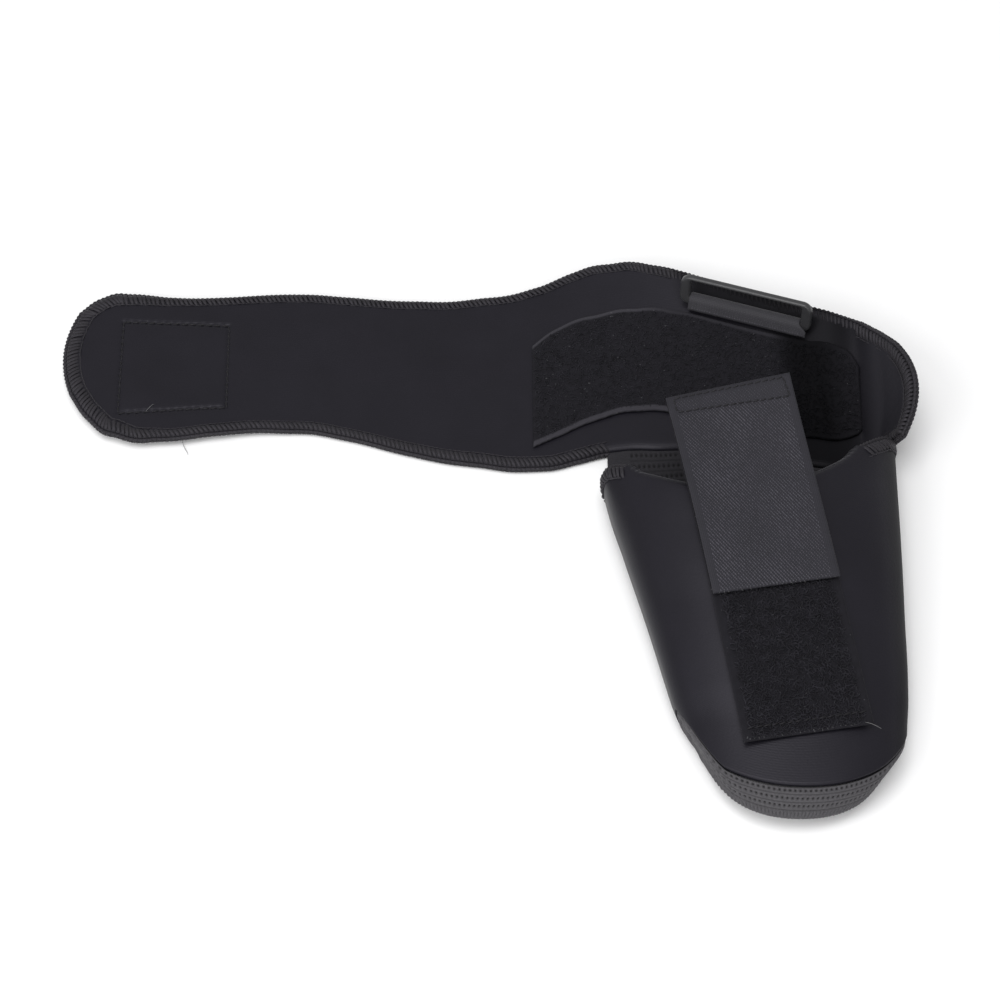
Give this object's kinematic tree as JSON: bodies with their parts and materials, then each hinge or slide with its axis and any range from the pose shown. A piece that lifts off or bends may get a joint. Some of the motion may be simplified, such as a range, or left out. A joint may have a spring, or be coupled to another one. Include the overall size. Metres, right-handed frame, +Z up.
{
  "type": "bunion corrector",
  "caption": "soft black neoprene foot support: tapered sleeve with elastic ends, wrap band with hook and loop patches, and a pull strap that runs to a plastic ring",
  "frame": {"origin": "on the table under the middle of the object's box, as it lies", "axes": "+Z up off the table, +X along the band towards its curled end, +Y from the sleeve's narrow tip to the band"},
  "size_m": [0.2702, 0.2038, 0.0391],
  "materials": {
    "neoprene": "black knit-faced neoprene, matt with a soft sheen",
    "elastic": "black ribbed woven elastic",
    "loop_fabric": "black brushed loop pile",
    "hook_tape": "charcoal woven nylon tape back",
    "ring_plastic": "black moulded plastic, satin"
  },
  "bodies": {
    "brace": {"band": "neoprene", "band_hook_patch": "hook_tape", "loop_patch": "loop_fabric", "toe_sleeve": "neoprene", "toe_elastic": "elastic", "mouth_elastic": "elastic", "strap_loop_tape": "loop_fabric", "strap_hook_tape": "hook_tape", "ring_tab": "hook_tape"},
    "ring": {"strap_ring": "ring_plastic"}
  },
  "joints": [
    {"name": "ring_turn", "type": "hinge", "parent": "brace", "child": "ring", "pos_m": [0.08484, 0.07513, 0.01374], "axis": [0.9332, -0.3535, 0.0641], "range_deg": [-55, 100]}
  ]
}
